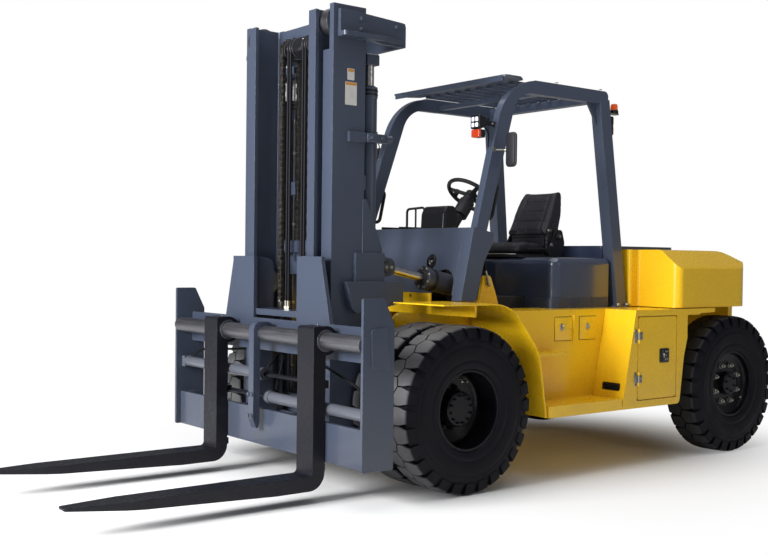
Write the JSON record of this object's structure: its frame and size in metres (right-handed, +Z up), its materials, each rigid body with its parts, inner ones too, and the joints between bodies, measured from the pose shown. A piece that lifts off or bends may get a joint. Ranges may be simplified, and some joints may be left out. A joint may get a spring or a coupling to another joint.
{
  "type": "electric forklift truck",
  "caption": "Large counterbalanced electric forklift with a two-stage mast, wide fork positioner carriage, dual drive wheels and an open overhead guard.",
  "frame": {"origin": "on the floor, midway between the side planes and midway between fork tips and the counterweight's rear face", "axes": "-Y toward the fork tips, +Y to the rear, +X to the truck's left seen from the seat facing the forks, +Z up"},
  "size_m": [2.3, 5.878, 3.045],
  "materials": {
    "body_yellow": "gloss paint",
    "mast_grey": "satin paint",
    "hood_grey": "gloss paint",
    "axle_black": "satin paint",
    "fork_steel": "black paint",
    "roller_steel": "machined",
    "chrome_rod": "polished",
    "chain_steel": "oiled",
    "tyre": "matte",
    "hose_rubber": "matte",
    "black_plastic": "matte",
    "lamp_black": "gloss",
    "signal_amber": "gloss",
    "seat_vinyl": "matte",
    "battery_case": "satin"
  },
  "bodies": {
    "truck": {"battery_pack": "battery_case", "beacon": "signal_amber", "chassis_frame": "body_yellow", "controller_cabinet": "hood_grey", "controls": "black_plastic", "counterweight": "body_yellow", "drawbar_pin": "fork_steel", "drive_axle": "axle_black", "floor_plate": "hood_grey", "front_cowl": "mast_grey", "front_fenders": "body_yellow", "guard_roof": "mast_grey", "hand_rails": "black_plastic", "instrument_pod": "black_plastic", "lamps": "lamp_black", "mirrors": "black_plastic", "overhead_guard": "mast_grey", "rear_side_covers": "body_yellow", "side_tanks": "body_yellow", "steer_axle": "axle_black", "steering_column": "black_plastic"},
    "mast": {"outer_mast": "mast_grey", "lift_barrels": "mast_grey", "mast_rollers": "roller_steel", "chains_rear": "chain_steel", "hoses_rear": "hose_rubber"},
    "inner_mast": {"inner_mast": "mast_grey", "lift_rods": "chrome_rod", "chain_wheels": "roller_steel", "chains_front": "chain_steel", "hoses_front": "hose_rubber"},
    "carriage": {"carriage_frame": "mast_grey", "carriage_rollers": "roller_steel", "fork_shaft": "mast_grey", "shaft_hanger": "mast_grey", "positioner_barrels": "mast_grey"},
    "fork_left": {"fork_left": "fork_steel"},
    "fork_right": {"fork_right": "fork_steel"},
    "hood": {"hood": "hood_grey", "seat_base": "black_plastic", "seat_cushion": "seat_vinyl", "seat_backrest": "seat_vinyl"},
    "door_left": {"side_door_left": "body_yellow"},
    "door_right": {"side_door_right": "body_yellow"},
    "steering_wheel": {"steering_wheel": "black_plastic"},
    "drive_wheel_left": {"drive_wheel_left": "axle_black", "drive_tyres_left": "tyre"},
    "drive_wheel_right": {"drive_wheel_right": "axle_black", "drive_tyres_right": "tyre"},
    "knuckle_left": {"knuckle_left": "axle_black"},
    "knuckle_right": {"knuckle_right": "axle_black"},
    "steer_wheel_left": {"steer_wheel_left": "axle_black", "steer_tyre_left": "tyre"},
    "steer_wheel_right": {"steer_wheel_right": "axle_black", "steer_tyre_right": "tyre"},
    "tilt_barrel_left": {"tilt_barrel_left": "mast_grey"},
    "tilt_barrel_right": {"tilt_barrel_right": "mast_grey"},
    "tilt_rod_left": {"tilt_rod_left": "chrome_rod"},
    "tilt_rod_right": {"tilt_rod_right": "chrome_rod"}
  },
  "joints": [
    {"name": "mast_tilt", "type": "hinge", "parent": "truck", "child": "mast", "pos_m": [0, -0.831, 0.43], "axis": [1, 0, 0], "range_deg": [-12, 6]},
    {"name": "mast_lift", "type": "slide", "parent": "mast", "child": "inner_mast", "axis": [0, 0, 1], "range_m": [0, 1.45], "deforming": ["chains_rear", "hoses_rear"]},
    {"name": "carriage_lift", "type": "slide", "parent": "inner_mast", "child": "carriage", "axis": [0, 0, 1], "range_m": [0, 1.45], "deforming": ["chains_front", "hoses_front"]},
    {"name": "drive_wheel_left_spin", "type": "hinge", "parent": "truck", "child": "drive_wheel_left", "pos_m": [0.959, -0.501, 0.527], "axis": [1, 0, 0], "continuous": true},
    {"name": "drive_wheel_right_spin", "type": "hinge", "parent": "truck", "child": "drive_wheel_right", "pos_m": [-0.959, -0.501, 0.527], "axis": [1, 0, 0], "continuous": true},
    {"name": "steer_left", "type": "hinge", "parent": "truck", "child": "knuckle_left", "pos_m": [0.77, 2.249, 0.527], "axis": [0, 0, 1], "range_deg": [-60, 60]},
    {"name": "steer_right", "type": "hinge", "parent": "truck", "child": "knuckle_right", "pos_m": [-0.77, 2.249, 0.527], "axis": [0, 0, 1], "range_deg": [-60, 60]},
    {"name": "steer_wheel_left_spin", "type": "hinge", "parent": "knuckle_left", "child": "steer_wheel_left", "pos_m": [0.968, 2.249, 0.527], "axis": [1, 0, 0], "continuous": true},
    {"name": "steer_wheel_right_spin", "type": "hinge", "parent": "knuckle_right", "child": "steer_wheel_right", "pos_m": [-0.968, 2.249, 0.527], "axis": [1, 0, 0], "continuous": true},
    {"name": "steering_wheel_turn", "type": "hinge", "parent": "truck", "child": "steering_wheel", "pos_m": [0, 0.469, 1.946], "axis": [0, 0.6018, 0.7986], "continuous": true},
    {"name": "hood_lid", "type": "hinge", "parent": "truck", "child": "hood", "pos_m": [0, 1.304, 1.478], "axis": [1, 0, 0], "range_deg": [-50, 0]},
    {"name": "door_left_swing", "type": "hinge", "parent": "truck", "child": "door_left", "pos_m": [1.0903, 1.103, 0.784], "axis": [0, 0, 1], "range_deg": [-100, 0]},
    {"name": "door_right_swing", "type": "hinge", "parent": "truck", "child": "door_right", "pos_m": [-1.0903, 1.103, 0.784], "axis": [0, 0, 1], "range_deg": [0, 100]},
    {"name": "fork_left_shift", "type": "slide", "parent": "carriage", "child": "fork_left", "axis": [1, 0, 0], "range_m": [-0.5, 0.39]},
    {"name": "fork_right_shift", "type": "slide", "parent": "carriage", "child": "fork_right", "axis": [1, 0, 0], "range_m": [-0.51, 0.38]},
    {"name": "tilt_barrel_left_pivot", "type": "hinge", "parent": "truck", "child": "tilt_barrel_left", "pos_m": [0.462, 0.139, 1.232], "axis": [1, 0, 0], "range_deg": [-1.5, 1.5]},
    {"name": "tilt_rod_left_slide", "type": "slide", "parent": "tilt_barrel_left", "child": "tilt_rod_left", "axis": [0, -0.9795, 0.2016], "range_m": [-0.215, 0.115]},
    {"name": "tilt_barrel_right_pivot", "type": "hinge", "parent": "truck", "child": "tilt_barrel_right", "pos_m": [-0.462, 0.139, 1.232], "axis": [1, 0, 0], "range_deg": [-1.5, 1.5]},
    {"name": "tilt_rod_right_slide", "type": "slide", "parent": "tilt_barrel_right", "child": "tilt_rod_right", "axis": [0, -0.9795, 0.2016], "range_m": [-0.215, 0.115]}
  ],
  "couplings": [
    {"joint": "carriage_lift", "follows": "mast_lift", "ratio": 1},
    {"joint": "steer_right", "follows": "steer_left", "ratio": 1},
    {"joint": "tilt_barrel_left_pivot", "follows": "mast_tilt", "ratio": 0.0552},
    {"joint": "tilt_rod_left_slide", "follows": "mast_tilt", "m_per_rad": 0.9821},
    {"joint": "tilt_barrel_right_pivot", "follows": "mast_tilt", "ratio": 0.0552},
    {"joint": "tilt_rod_right_slide", "follows": "mast_tilt", "m_per_rad": 0.9821}
  ]
}
